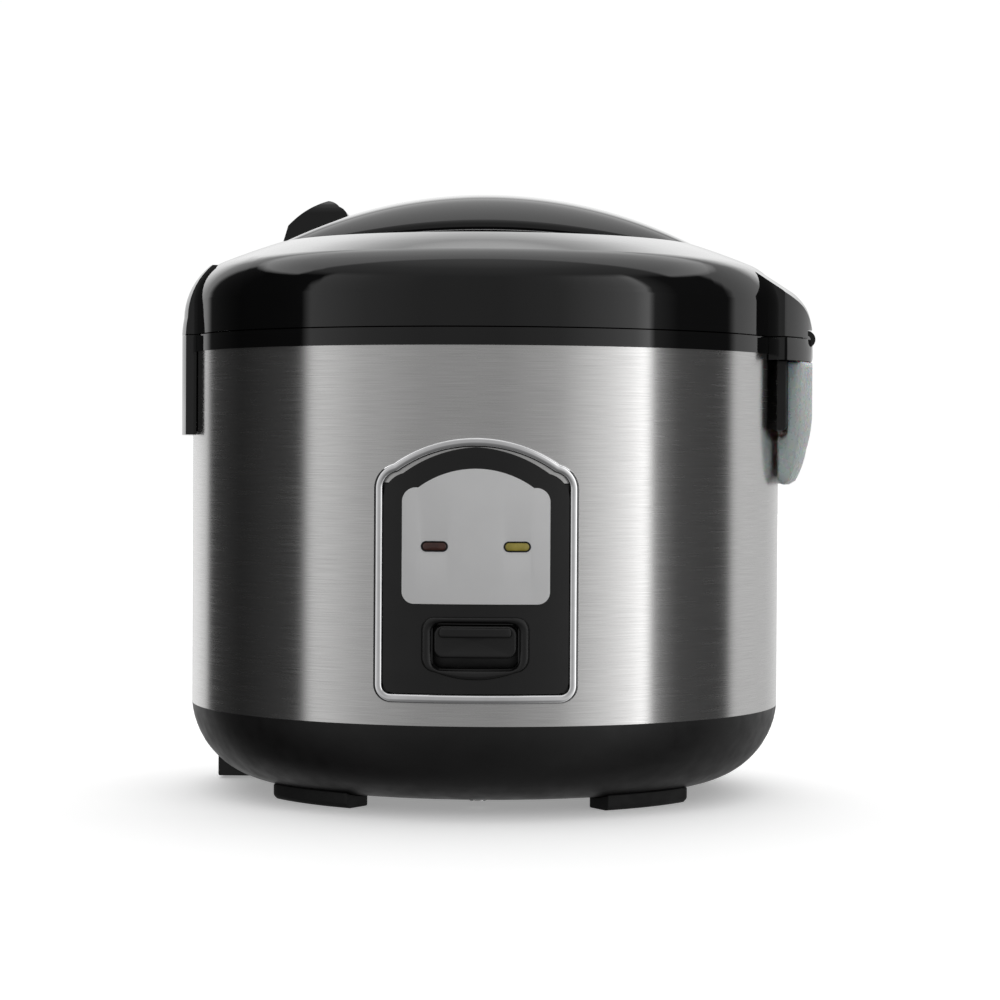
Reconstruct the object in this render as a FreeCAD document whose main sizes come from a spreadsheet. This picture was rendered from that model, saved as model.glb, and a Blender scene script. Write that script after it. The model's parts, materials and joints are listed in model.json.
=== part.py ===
"""Jar-type electric rice cooker, as a parametric assembly of separate sub-parts.

The frame is Z up, in millimetres, with the origin at the centre of the body on the plane the feet
stand on. The control panel faces -Y, the lid's hinge is at +X and its latch at -X.
"""
import FreeCAD, Part
import math
import os
import Sketcher

from FreeCAD import Placement, Rotation, Vector

SHEET_CELLS = [
    # overall sizes
    ("body_radius", 120.0, "outside of the steel sleeve"),
    ("foot_height", 4.5, "underside of the base above the table"),
    ("base_height", 30.9, "base underside to the sleeve's lower edge"),
    ("sleeve_height", 141.9, "steel sleeve, edge to edge"),
    ("collar_height", 6.6, "collar band that shows above the sleeve"),
    ("lid_gap", 0.5, "parting line between collar and lid"),
    # base
    ("base_round", 34.0, "radius of the base's rounded side"),
    ("base_inset", 32.0, "flat underside's edge, in from the sleeve"),
    ("base_wall", 3.3, "wall at the base's rim, spigot included"),
    ("spigot_height", 6.0, "rim of the base that stands inside the sleeve"),
    ("cover_inset", 6.0, "bottom cover's opening, in from the flat underside's edge"),
    ("cover_thick", 2.5, "bottom cover"),
    ("cover_ledge", 12.0, "width of the ledge the cover lies against"),
    ("vent_slots", 16.0, "air slots in the bottom cover"),
    ("slot_near", 36.0, "near end of each air slot, from the axis"),
    ("slot_length", 22.0, "each air slot"),
    ("slot_width", 4.0, "each air slot"),
    ("foot_over", 9.5, "foot's outer edge beyond the flat underside's edge"),
    ("foot_width", 14.0, "foot, along the radius"),
    ("foot_bevel", 1.5, "bevel round a foot's outer edge"),
    ("foot_sweep", 26.0, "angle a foot spans"),
    ("foot_angle", 44.0, "feet, each side of the front and back"),
    ("screw_radius", 1.9, "shank of every screw"),
    ("screw_head", 3.5, "head radius of every screw"),
    # power inlet
    ("inlet_width", 24.0, "inlet block along Y"),
    ("inlet_start", 20.0, "inlet block's near side, along Y"),
    ("inlet_inset", 7.5, "inlet block's outer face, in from the sleeve"),
    ("inlet_depth", 18.0, "inlet block along X"),
    ("inlet_top", 19.8, "inlet block's upper face"),
    ("inlet_clear", 1.0, "inlet block above the table"),
    ("socket_depth", 13.0, "depth of the socket"),
    ("socket_rim", 4.0, "wall beside the socket"),
    ("socket_low", 4.5, "socket's lower edge"),
    ("socket_height", 10.0, "socket, top to bottom"),
    ("socket_pin", 1.2, "radius of a socket pin"),
    ("socket_pitch", 4.5, "socket pins, centre to centre"),
    ("socket_pin_inset", 5.5, "pins' tips behind the inlet's face"),
    # sleeve and inner shell
    ("sleeve_wall", 0.6, "steel sheet"),
    ("fit_gap", 0.3, "gap at a slip fit"),
    ("pot_clear", 4.0, "heat shield outside the pot"),
    ("shell_wall", 0.8, "heat shield sheet"),
    ("shell_floor", 56.0, "underside of the heat shield's floor"),
    ("flange_clear", 4.2, "shield's upper flange inside the collar's rim"),
    ("shell_hole", 7.0, "hole for the magnet's rod in the shield's floor"),
    ("band_low", 118.0, "keep-warm band, lower edge"),
    ("band_width", 26.0, "keep-warm band"),
    ("band_thick", 1.2, "keep-warm band"),
    # heating
    ("plate_inset", 16.5, "heating plate's edge, in from the pot's wall"),
    ("plate_thick", 8.0, "heating plate"),
    ("plate_leg", 11.2, "legs under the heating plate"),
    ("element_circle", 52.0, "radius of the heating element's ring"),
    ("element_radius", 3.4, "heating element tube"),
    ("sensor_radius", 18.0, "sensor cup"),
    ("sensor_depth", 15.7, "sensor cup, top to rim"),
    ("sensor_travel", 2.5, "how far the sensor cup sinks"),
    ("magnet_radius", 11.0, "magnet disc"),
    ("magnet_rod_radius", 3.0, "rod under the magnet"),
    ("magnet_thick", 3.5, "magnet disc"),
    ("magnet_rest", 3.7, "magnet disc above the shield's floor"),
    ("arm_drop", 12.0, "switch arm's underside below the shield's floor"),
    ("arm_thick", 3.0, "switch arm"),
    ("arm_half", 4.0, "half width of the switch arm"),
    ("arm_boss", 3.2, "round boss at the arm's pivot"),
    ("arm_pin_radius", 1.5, "switch arm's pin"),
    ("cheek_thick", 2.4, "each cheek of the arm's bracket"),
    ("cheek_half", 5.0, "half length of the arm's bracket"),
    ("lever_travel", 3.6, "how far the cook lever goes down"),
    ("arm_pivot", 50.0, "switch arm's pivot in front of the axis"),
    ("switch_top", 40.0, "height of the microswitch's body"),
    ("terminal_half", 16.0, "half width of the terminal block"),
    ("terminal_depth", 12.0, "terminal block, front to back"),
    ("terminal_height", 12.0, "terminal block"),
    # collar and pot
    ("rim_clear", 2.0, "collar's upper opening outside the pot's rim"),
    ("ledge_clear", 2.5, "collar's ledge outside the pot's wall"),
    ("ledge_drop", 4.3, "ledge below the collar's top"),
    ("collar_proud", 0.3, "collar outside the sleeve"),
    ("collar_skirt", 6.0, "collar's rim inside the sleeve"),
    ("skirt_wall", 2.9, "collar's rim inside the sleeve"),
    ("pot_inset", 25.5, "outside of the inner pot, in from the sleeve"),
    ("pot_wall", 1.4, "inner pot"),
    ("rim_width", 8.5, "pot's rolled rim, beyond its wall"),
    ("pot_corner", 14.0, "outside radius between the pot's wall and bottom"),
    ("pot_bottom", 76.0, "pot's underside, on the heating plate"),
    # control panel
    ("panel_half", 38.4, "half width of the chrome frame"),
    ("panel_low", 43.9, "lower edge of the chrome frame"),
    ("panel_shoulder", 133.2, "height of the kinks in the frame's shoulders"),
    ("panel_kink", 7.4, "each kink, in from the frame's side"),
    ("panel_round", 9.7, "radius of the frame's shoulders"),
    ("panel_top", 143.0, "crown of the chrome frame"),
    ("panel_crown", 54.0, "radius of the frame's crown"),
    ("panel_corner", 6.7, "lower corner radius of the frame"),
    ("frame_width", 3.6, "chrome ring's face"),
    ("frame_proud", 2.2, "chrome ring outside the sleeve"),
    ("panel_proud", 1.2, "black panel outside the sleeve"),
    ("label_half", 27.6, "half width of the label plate"),
    ("label_low", 81.0, "lower edge of the label plate"),
    ("label_shoulder", 124.2, "height of the kinks in the label's shoulders"),
    ("label_kink", 6.0, "each kink, in from the label's side"),
    ("label_round", 5.2, "radius of the label's shoulders"),
    ("label_top", 131.3, "crown of the label"),
    ("label_crown", 36.5, "radius of the label's crown"),
    ("label_corner", 4.5, "lower corner radius of the label"),
    ("label_thick", 0.5, "label plate"),
    ("lamp_spread", 15.4, "each lamp from the middle"),
    ("lamp_level", 102.4, "height of the lamps"),
    ("lamp_half", 5.0, "half length of a lamp's window"),
    ("lamp_half_height", 1.9, "half height of a lamp's window"),
    ("bezel_half", 20.2, "half width of the lever's surround"),
    ("bezel_low", 55.8, "lower edge of the lever's surround"),
    ("bezel_top", 76.2, "upper edge of the lever's surround"),
    ("bezel_width", 4.2, "face of the lever's surround"),
    ("lever_half", 15.4, "half width of the cook lever"),
    ("lever_low", 61.0, "cook lever's lower edge"),
    ("lever_height", 12.0, "cook lever"),
    ("lever_proud", 3.6, "cook lever outside the sleeve"),
    # lid
    ("lid_wall", 2.5, "lid shell"),
    ("lid_skirt", 13.6, "straight side of the lid"),
    ("lid_round", 17.5, "rounded shoulder of the lid"),
    ("lid_slope", 300.0, "radius of the slope from the shoulder to the lip"),
    ("recess_dish", 60.0, "radius of the finger recess's side"),
    ("shoulder_inset", 11.2, "end of the rounded shoulder, in from the side"),
    ("shoulder_rise", 29.4, "end of the rounded shoulder, above the lid's edge"),
    ("lip_rise", 37.4, "lip above the lid's edge"),
    ("recess_radius", 60.0, "flat floor of the finger recess"),
    ("recess_rise", 27.6, "recess floor above the lid's edge"),
    ("liner_clear", 0.5, "liner's step outside the pot's rim"),
    ("liner_wall", 2.0, "lid's liner"),
    ("liner_rise", 3.6, "liner's raised middle above its edge"),
    ("seal_inset", 4.5, "inner lid plate's edge, in from the pot's rim"),
    ("plate_inner_thick", 1.0, "inner lid plate"),
    ("steam_hole", 2.0, "each steam hole in the inner lid plate"),
    ("gasket_width", 4.0, "lid gasket"),
    ("grommet_radius", 5.8, "grommet that holds the inner lid plate"),
    ("lid_screw_circle", 90.0, "radius of the lid screws' circle"),
    # handle
    ("handle_length", 174.0, "handle, tip to tip"),
    ("handle_width", 60.0, "handle, front to back"),
    ("handle_rise", 59.2, "handle's crown above the lid's edge"),
    ("tip_rise", 38.5, "upper edge of the handle's tips above the lid's edge"),
    ("handle_axis", 40.0, "radius of the handle's cross arch at its crown"),
    ("rim_rise", 42.9, "middle of the handle's lower rim above the lid's edge"),
    ("handle_thick", 5.0, "handle shell at its crown"),
    ("seat_rise", 37.4, "handle's seats above the lid's edge"),
    ("seat_inset", 5.0, "far end of each seat, in from the handle's tip"),
    ("seat_length", 16.0, "each seat, along the handle"),
    ("seat_half", 6.0, "half width of each seat"),
    # steam vent
    ("vent_x", 73.0, "vent's axis towards the latch"),
    ("vent_y", 38.0, "vent's axis towards the back"),
    ("vent_boss", 15.5, "boss under the vent cap"),
    ("vent_boss_rise", 41.4, "top of the boss above the lid's edge"),
    ("vent_bore", 7.0, "bore of the vent tube"),
    ("vent_tube_radius", 9.6, "outside of the vent tube"),
    ("cap_half", 13.5, "half size of the vent cap"),
    ("cap_height", 17.2, "vent cap"),
    ("cap_stem", 6.4, "stem of the vent cap"),
    # hinge
    ("ear_proud", 14.0, "hinge housing outside the sleeve"),
    ("ear_half_angle", 19.6, "hinge housing, each side of the middle"),
    ("ear_plan", 70.0, "radius of the hinge side's outer face, seen from above"),
    ("ear_drop", 2.3, "hinge housing below the sleeve's upper edge"),
    ("hinge_out", 10.5, "hinge axis outside the sleeve"),
    ("knuckle_radius", 3.5, "hinge knuckles"),
    ("knuckle_gap", 0.4, "gap round a knuckle"),
    ("lid_knuckle_half", 8.0, "lid knuckles, from the middle"),
    ("hinge_half", 16.0, "half length of the hinge"),
    ("pin_radius", 1.5, "hinge pin"),
    ("pin_gap", 0.05, "running gap on a pin"),
    ("spring_half", 3.0, "half width of the room for the hinge spring"),
    # condensate collector
    ("bracket_proud", 5.7, "collector's bracket outside the sleeve"),
    ("bracket_wall", 3.4, "collector's bracket"),
    ("bracket_drop", 28.0, "bracket below the hinge housing"),
    ("bracket_half_angle", 16.5, "bracket, each side of the middle"),
    ("collector_half_angle", 14.5, "collector, each side of the middle"),
    ("collector_wall", 1.4, "collector"),
    ("collector_height", 49.7, "collector, top to bottom"),
    # latch
    ("latch_proud", 4.6, "latch cover outside the sleeve"),
    ("latch_half_angle", 16.5, "latch cover, each side of the middle"),
    ("latch_drop", 33.3, "latch cover below the sleeve's upper edge"),
    ("latch_half", 15.0, "half width of the latch lever"),
    ("latch_pivot_drop", 9.3, "latch pin below the sleeve's upper edge"),
    ("latch_pivot_out", 2.1, "latch pin outside the sleeve"),
    ("latch_pin_radius", 1.0, "latch pin"),
    ("latch_arm_half", 6.0, "half width of the latch arm"),
    ("latch_arm_top", 4.0, "latch arm above the lid's edge"),
    ("latch_arm_thick", 2.0, "latch arm above the sleeve"),
    ("latch_swing_room", 1.2, "latch lever outside the sleeve, where it swings inwards"),
]


class Formula(str):
    """An expression on the sheet's cells, put together with ordinary arithmetic."""

    def __add__(self, other):
        return Formula(f"({str(self)} + {other})")

    def __radd__(self, other):
        return Formula(f"({other} + {str(self)})")

    def __sub__(self, other):
        return Formula(f"({str(self)} - {other})")

    def __rsub__(self, other):
        return Formula(f"({other} - {str(self)})")

    def __mul__(self, other):
        return Formula(f"({str(self)} * {other})")

    __rmul__ = __mul__

    def __truediv__(self, other):
        return Formula(f"({str(self)} / {other})")

    def __neg__(self):
        return Formula(f"(0 - {str(self)})")


def root(formula):
    return Formula(f"sqrt({formula})")


doc = FreeCAD.newDocument("RiceCooker")
sheet = doc.addObject("Spreadsheet::Sheet", "Sizes")
cell = {}
for row, (alias, value, note) in enumerate(SHEET_CELLS, start=1):
    sheet.set(f"A{row}", str(value))
    sheet.setAlias(f"A{row}", alias)
    sheet.set(f"B{row}", note)
    cell[alias] = Formula(f"Sizes.{alias}")
doc.recompute()

nodes = []


def size(formula):
    """The number that a formula gives now."""
    return float(sheet.evalExpression(str(formula)))


def keep(item, label):
    """Names a finished sub-part and puts it on the list of files."""
    item.Label = label
    nodes.append(item)
    return item


def bind(item, **formulas):
    """Binds properties of an object to formulas."""
    for name, formula in formulas.items():
        item.setExpression(name, str(formula))
    return item


def place(item, x=0, y=0, z=0, turn=None):
    """Places an object by formulas; turn is (axis, degrees)."""
    rotation = Rotation()
    if turn:
        rotation = Rotation(Vector(*turn[0]), turn[1])
    item.Placement = Placement(Vector(size(x), size(y), size(z)), rotation)
    for name, formula in (("x", x), ("y", y), ("z", z)):
        item.setExpression(f"Placement.Base.{name}", str(formula))
    return item


ALONG_X = ((0, 1, 0), 90)
ALONG_Y = ((1, 0, 0), -90)
TO_LATCH = ((0, 0, 1), 180)


def box(low, high):
    """A box between two corners, each three formulas."""
    item = doc.addObject("Part::Box", "Block")
    bind(item, Length=f"{high[0]} - {low[0]}", Width=f"{high[1]} - {low[1]}")
    bind(item, Height=f"{high[2]} - {low[2]}")
    return place(item, *low)


def cylinder(radius, length, x=0, y=0, z=0, turn=None):
    item = doc.addObject("Part::Cylinder", "Round")
    bind(item, Radius=radius, Height=length)
    return place(item, x, y, z, turn)


def fuse(*items):
    item = doc.addObject("Part::MultiFuse", "Joined")
    item.Shapes = list(items)
    return item


def common(*items):
    item = doc.addObject("Part::MultiCommon", "Shared")
    item.Shapes = list(items)
    return item


def cut(base, *tools):
    """The base less the tools."""
    item = doc.addObject("Part::Cut", "Trimmed")
    item.Base = base
    item.Tool = tools[0] if len(tools) == 1 else fuse(*tools)
    return item


def group(*items):
    """Separate solids that share one node."""
    item = doc.addObject("Part::Compound", "Set")
    item.Links = list(items)
    return item


def tube(outer, inner, low, high):
    """A round wall about the body's axis."""
    low = Formula(low)
    height = Formula(high) - low
    return cut(cylinder(outer, height, z=low), cylinder(inner, height + 2, z=low - 1))


def arc_between(start, end, radius, side):
    """The shorter arc from start to end; side +1 has its centre on the left of the way."""
    chord = end - start
    lift = math.sqrt(max(radius ** 2 - chord.Length ** 2 / 4, 0.0))
    left = Vector(-chord.y, chord.x, 0).normalize()
    centre = (start + end) * 0.5 + left * lift * side
    first, last = (start, end) if side > 0 else (end, start)
    angles = [math.atan2(p.y - centre.y, p.x - centre.x) for p in (first, last)]
    circle = Part.Circle(centre, Vector(0, 0, 1), radius)
    return Part.ArcOfCircle(circle, angles[0], angles[1])


def draw(sketch, corners):
    """A closed outline. A corner is (x, y), or (x, y, radius, side) where an arc leads to it."""
    places = [Vector(size(corner[0]), size(corner[1]), 0) for corner in corners]
    starts = []
    ends = []
    for index, corner in enumerate(corners):
        start, end = places[index - 1], places[index]
        if len(corner) == 2:
            edge = sketch.addGeometry(Part.LineSegment(start, end), False)
            starts.append((edge, 1))
            ends.append((edge, 2))
            continue
        radius, side = corner[2], corner[3]
        edge = sketch.addGeometry(arc_between(start, end, size(radius), side), False)
        starts.append((edge, 1 if side > 0 else 2))
        ends.append((edge, 2 if side > 0 else 1))
        rule = sketch.addConstraint(Sketcher.Constraint("Radius", edge, size(radius)))
        sketch.setExpression(f"Constraints[{rule}]", str(radius))
    for index, corner in enumerate(corners):
        here = ends[index]
        following = starts[(index + 1) % len(corners)]
        sketch.addConstraint(Sketcher.Constraint("Coincident", *here, *following))
        for kind, formula, axis in (("DistanceX", corner[0], -2), ("DistanceY", corner[1], -1)):
            if str(formula) == "0":
                sketch.addConstraint(Sketcher.Constraint("PointOnObject", *here, axis))
                continue
            rule = sketch.addConstraint(
                Sketcher.Constraint(kind, -1, 1, *here, size(formula)))
            sketch.setExpression(f"Constraints[{rule}]", str(formula))


def ring_outline(sketch, radius):
    """A circle about the sketch's origin."""
    circle = Part.Circle(Vector(0, 0, 0), Vector(0, 0, 1), size(radius))
    edge = sketch.addGeometry(circle, False)
    sketch.addConstraint(Sketcher.Constraint("Coincident", edge, 3, -1, 1))
    rule = sketch.addConstraint(Sketcher.Constraint("Radius", edge, size(radius)))
    sketch.setExpression(f"Constraints[{rule}]", str(radius))


def new_sketch(body, plane, lift=0, rise=0):
    """A sketch on one of the body's origin planes, lifted along its normal and raised in it."""
    sketch = body.newObject("Sketcher::SketchObject", "Outline")
    support = next(f for f in body.Origin.OriginFeatures if f.Role == plane)
    sketch.AttachmentSupport = [(support, "")]
    sketch.MapMode = "FlatFace"
    sketch.AttachmentOffset = Placement(Vector(0, size(rise), size(lift)), Rotation())
    sketch.setExpression("AttachmentOffset.Base.y", str(rise))
    sketch.setExpression("AttachmentOffset.Base.z", str(lift))
    return sketch


def new_body():
    return doc.addObject("PartDesign::Body", "Body")


def revolve(body, corners, angle=None, axis="V_Axis", rise=0):
    """Turns an outline in the XZ plane; angle is the whole angle, shared by both sides."""
    sketch = new_sketch(body, "XZ_Plane", rise=rise)
    draw(sketch, corners)
    feature = body.newObject("PartDesign::Revolution", "Turned")
    feature.Profile = sketch
    feature.ReferenceAxis = (sketch, [axis])
    if angle is None:
        feature.Angle = 360.0
    else:
        feature.Midplane = True
        feature.setExpression("Angle", str(angle))
    return feature


def turned(corners, angle=None, turn=None):
    """A body made by turning an outline about the Z axis."""
    body = new_body()
    revolve(body, corners, angle)
    if turn:
        body.Placement = Placement(Vector(0, 0, 0), Rotation(Vector(*turn[0]), turn[1]))
    return body


def padded(plane, corners, length, lift=0, both_ways=False):
    """A body made by padding an outline along the plane's normal."""
    body = new_body()
    sketch = new_sketch(body, plane, lift=lift)
    draw(sketch, corners)
    feature = body.newObject("PartDesign::Pad", "Padded")
    feature.Profile = sketch
    feature.setExpression("Length", str(length))
    feature.Midplane = both_ways
    return body


def mirrored(corners):
    """Corners on the right of the middle, then the same on the left, as one outline.

    The way round is kept, so an arc's side stays; a left arc's radius moves to its far corner.
    """
    left = []
    for index in range(len(corners) - 1, -1, -1):
        corner = corners[index]
        if str(corner[0]) == "0":
            continue
        after = corners[index + 1] if index + 1 < len(corners) else ()
        arc = tuple(after[2:]) if len(after) > 2 else ()
        left.append((-Formula(corner[0]), corner[1], *arc))
    return list(corners) + left


def helix(radius, wire, length, turns, x=0, y=0, z=0, turn=None):
    """A round-wire spring along its own Z, as one swept solid."""
    item = doc.addObject("Part::Feature", "Coil")
    pitch = size(length) / turns
    path = Part.makeHelix(pitch, size(length), size(radius))
    start = Vector(size(radius), 0, 0)
    way = Vector(0, 2 * math.pi * size(radius), pitch)
    ring = Part.Wire(Part.makeCircle(size(wire), start, way))
    item.Shape = Part.Wire(path).makePipeShell([ring], True, True)
    return place(item, x, y, z, turn)


# Levels and radii that several sub-parts share
c = cell
wide = c["body_radius"]
seam = c["foot_height"] + c["base_height"]
sleeve_top = seam + c["sleeve_height"]
collar_top = sleeve_top + c["collar_height"]
lid_under = collar_top + c["lid_gap"]
ledge = collar_top - c["ledge_drop"]
cover_top = c["foot_height"] + c["cover_thick"]
ledge_top = cover_top + c["cover_thick"]
plate_low = c["pot_bottom"] - c["plate_thick"]
flat_edge = wide - c["base_inset"]
cover_radius = flat_edge - c["cover_inset"]
cover_screws = cover_radius - c["cover_ledge"] / 2
inlet_face = -(wide - c["inlet_inset"])
pot_radius = wide - c["pot_inset"]
pot_rim = pot_radius + c["rim_width"]
collar_inside = pot_rim + c["rim_clear"]
ledge_inside = pot_radius + c["ledge_clear"]
shield = pot_radius + c["pot_clear"]
plate_radius = pot_radius - c["plate_inset"]
liner_step = pot_rim + c["liner_clear"]
inner_plate = pot_rim - c["seal_inset"]
ear = wide + c["ear_proud"]
hinge_reach = wide + c["hinge_out"]
latch_outside = wide + c["latch_proud"]
latch_pivot = wide + c["latch_pivot_out"]
hinge_level = lid_under - c["lid_gap"] / 2
ear_low = sleeve_top - c["ear_drop"]
gap = c["fit_gap"]
screw = c["screw_radius"]
window_half = c["panel_half"] - c["frame_width"]
window_low = c["panel_low"] + c["frame_width"]
window_top = c["panel_shoulder"] - c["frame_width"] * 2
spring_level = sleeve_top + c["collar_height"] / 2
arm_low = c["shell_floor"] - c["arm_drop"]
arm_top = arm_low + c["arm_thick"]
stem_front = -(wide - 8.7)
seat_far = c["handle_length"] / 2 - c["seat_inset"]
seat_near = seat_far - c["seat_length"]
liner_low = lid_under + c["liner_rise"]
liner_top = liner_low + c["liner_wall"]
seat_middle = (seat_near + seat_far) / 2
handle_screw_places = (seat_middle, -seat_middle)
FAR = 200
HOLE_GAP = 0.1
HEAD_THICK = 1.5
BASE_SCREWS = (0, 90, 180, 270)
LID_SCREWS = (20, 110, 200, 290)


def base_arc_centre():
    """Centre of the arc that rounds the base's side, as a radius and a height."""
    half = root(c["base_inset"] * c["base_inset"] + c["base_height"] * c["base_height"]) / 2
    lift = root(c["base_round"] * c["base_round"] - half * half)
    across = wide - c["base_inset"] / 2 - lift * c["base_height"] / (half * 2)
    up = c["foot_height"] + c["base_height"] / 2 + lift * c["base_inset"] / (half * 2)
    return across, up


def base_side(radius):
    """Height of the base's rounded side at a radius."""
    across, up = base_arc_centre()
    reach = Formula(radius) - across
    return up - root(c["base_round"] * c["base_round"] - reach * reach)


def inlet_box(slack, low, high):
    """The space of the power inlet's block, grown by a slack along Y."""
    start = c["inlet_start"]
    return box((inlet_face, start - slack, low),
               (inlet_face + c["inlet_depth"], start + c["inlet_width"] + slack, high))


def screws(circle, low, length, angles):
    """Pan-head screws on a circle, heads below; low is the underside of the held piece."""
    made = []
    for angle in angles:
        x = circle * f"cos({angle})"
        y = circle * f"sin({angle})"
        shank = cylinder(screw, length, x, y, low)
        head = cylinder(c["screw_head"], HEAD_THICK, x, y, low - HEAD_THICK)
        made.append(fuse(shank, head))
    return group(*made)


def holes(circle, radius, low, length, angles):
    """Round tools on a circle."""
    return [cylinder(radius, length, circle * f"cos({angle})", circle * f"sin({angle})", low)
            for angle in angles]


def base():
    """Base shell, bottom cover, feet, screws and the power inlet."""
    rim = wide - c["sleeve_wall"] - gap
    inner = wide - c["base_wall"]
    shell = turned([
        (cover_radius, c["foot_height"]),
        (flat_edge, c["foot_height"]),
        (wide, seam, c["base_round"], 1),
        (rim, seam),
        (rim, seam + c["spigot_height"]),
        (inner, seam + c["spigot_height"]),
        (inner, seam - 2),
        (flat_edge + 9, ledge_top, c["base_round"] - c["base_wall"], -1),
        (cover_radius - c["cover_ledge"], ledge_top),
        (cover_radius - c["cover_ledge"], cover_top),
        (cover_radius, cover_top)])
    start = c["inlet_start"]
    window = box((-FAR, start - HOLE_GAP, -1),
                 (inlet_face + c["inlet_depth"] + HOLE_GAP,
                  start + c["inlet_width"] + HOLE_GAP, c["inlet_top"] + HOLE_GAP))
    screw_hole = screw + HOLE_GAP
    keep(cut(shell, window, *holes(cover_screws, screw_hole, 0, 20, BASE_SCREWS)), "base_shell")

    cover = new_body()
    disc = new_sketch(cover, "XY_Plane", lift=cover_top)
    ring_outline(disc, cover_radius - HOLE_GAP)
    pad = cover.newObject("PartDesign::Pad", "Disc")
    pad.Profile = disc
    pad.setExpression("Length", str(c["cover_thick"]))
    pad.Reversed = True
    slot = new_sketch(cover, "XY_Plane", lift=cover_top)
    near, half_slot = c["slot_near"], c["slot_width"] / 2
    far = near + c["slot_length"]
    draw(slot, [(near, -half_slot), (far, -half_slot), (far, half_slot), (near, half_slot)])
    pocket = cover.newObject("PartDesign::Pocket", "Slot")
    pocket.Profile = slot
    pocket.setExpression("Length", str(c["cover_thick"]))
    doc.recompute()
    around = cover.newObject("PartDesign::PolarPattern", "Slots")
    around.Originals = [pocket]
    around.Axis = (disc, ["N_Axis"])
    around.Angle = 360
    around.setExpression("Occurrences", str(c["vent_slots"]))
    cover.Tip = around
    keep(cut(cover, *holes(cover_screws, screw_hole, 0, 20, BASE_SCREWS)), "bottom_cover")
    keep(screws(cover_screws, c["foot_height"], c["cover_thick"] * 2 - HOLE_GAP, BASE_SCREWS),
         "base_screws")

    bevel = c["foot_bevel"]
    outer = flat_edge + c["foot_over"]
    inside = outer - c["foot_width"]
    for name, middle, side in (("foot_front_right", -90, 1), ("foot_front_left", -90, -1),
                               ("foot_rear_right", 90, -1), ("foot_rear_left", 90, 1)):
        foot = turned([
            (inside, 0), (outer - bevel, 0), (outer, bevel), (outer, base_side(outer)),
            (flat_edge, c["foot_height"], c["base_round"], -1),
            (inside, c["foot_height"])], c["foot_sweep"])
        foot.Placement.Rotation = Rotation(Vector(0, 0, 1), 1)
        foot.setExpression("Placement.Rotation.Angle",
                           str(c["foot_angle"] * side + (middle + 360)))
        keep(foot, name)

    block = inlet_box(0, c["inlet_clear"], c["inlet_top"])
    side, low = c["socket_rim"], c["socket_low"]
    socket = box((-FAR, start + side, low),
                 (inlet_face + c["socket_depth"], start + c["inlet_width"] - side,
                  low + c["socket_height"]))
    keep(cut(block, socket), "power_inlet")
    pin_x = inlet_face + c["socket_pin_inset"]
    pin_length = c["socket_depth"] - c["socket_pin_inset"]
    middle = start + c["inlet_width"] / 2
    level = low + c["socket_height"] / 2
    keep(group(*[cylinder(c["socket_pin"], pin_length, pin_x,
                          middle + c["socket_pitch"] * step, level, ALONG_X)
                 for step in (-1, 0, 1)]), "inlet_pins")


def body():
    """Sleeve, heat shield and collar."""
    outside = tube(wide, wide - c["sleeve_wall"], seam, sleeve_top)
    window = box((-window_half, -FAR, window_low), (window_half, -wide / 2, window_top))
    keep(cut(outside, window), "outer_sleeve")

    wall, hole = c["shell_wall"], c["shell_hole"]
    floor = c["shell_floor"]
    flange = wide - c["sleeve_wall"] - gap - c["skirt_wall"] - c["flange_clear"]
    keep(turned([
        (hole, floor), (shield + wall, floor), (shield + wall, sleeve_top - wall),
        (flange, sleeve_top - wall), (flange, sleeve_top), (shield, sleeve_top),
        (shield, floor + wall), (hole, floor + wall)]), "heat_shield")
    band = shield + wall
    keep(tube(band + c["band_thick"], band, c["band_low"], c["band_low"] + c["band_width"]),
         "band_heater")

    rim = wide - c["sleeve_wall"] - gap
    skirt, skirt_low = rim - c["skirt_wall"], sleeve_top - c["collar_skirt"]
    proud = wide + c["collar_proud"]
    ring = turned([
        (ledge_inside, sleeve_top), (skirt, sleeve_top), (skirt, skirt_low), (rim, skirt_low),
        (rim, sleeve_top), (proud, sleeve_top), (proud, collar_top),
        (collar_inside, collar_top), (collar_inside, ledge), (ledge_inside, ledge)])
    slot_half = c["latch_arm_half"] + 1
    notch = box((-FAR, -slot_half, sleeve_top), (-wide + 2.5, slot_half, collar_top + 1))
    pocket = cylinder(2.4, 5, -wide + 2.4, 0, spring_level, ALONG_X)
    keep(cut(ring, notch, pocket), "collar_ring")


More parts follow.
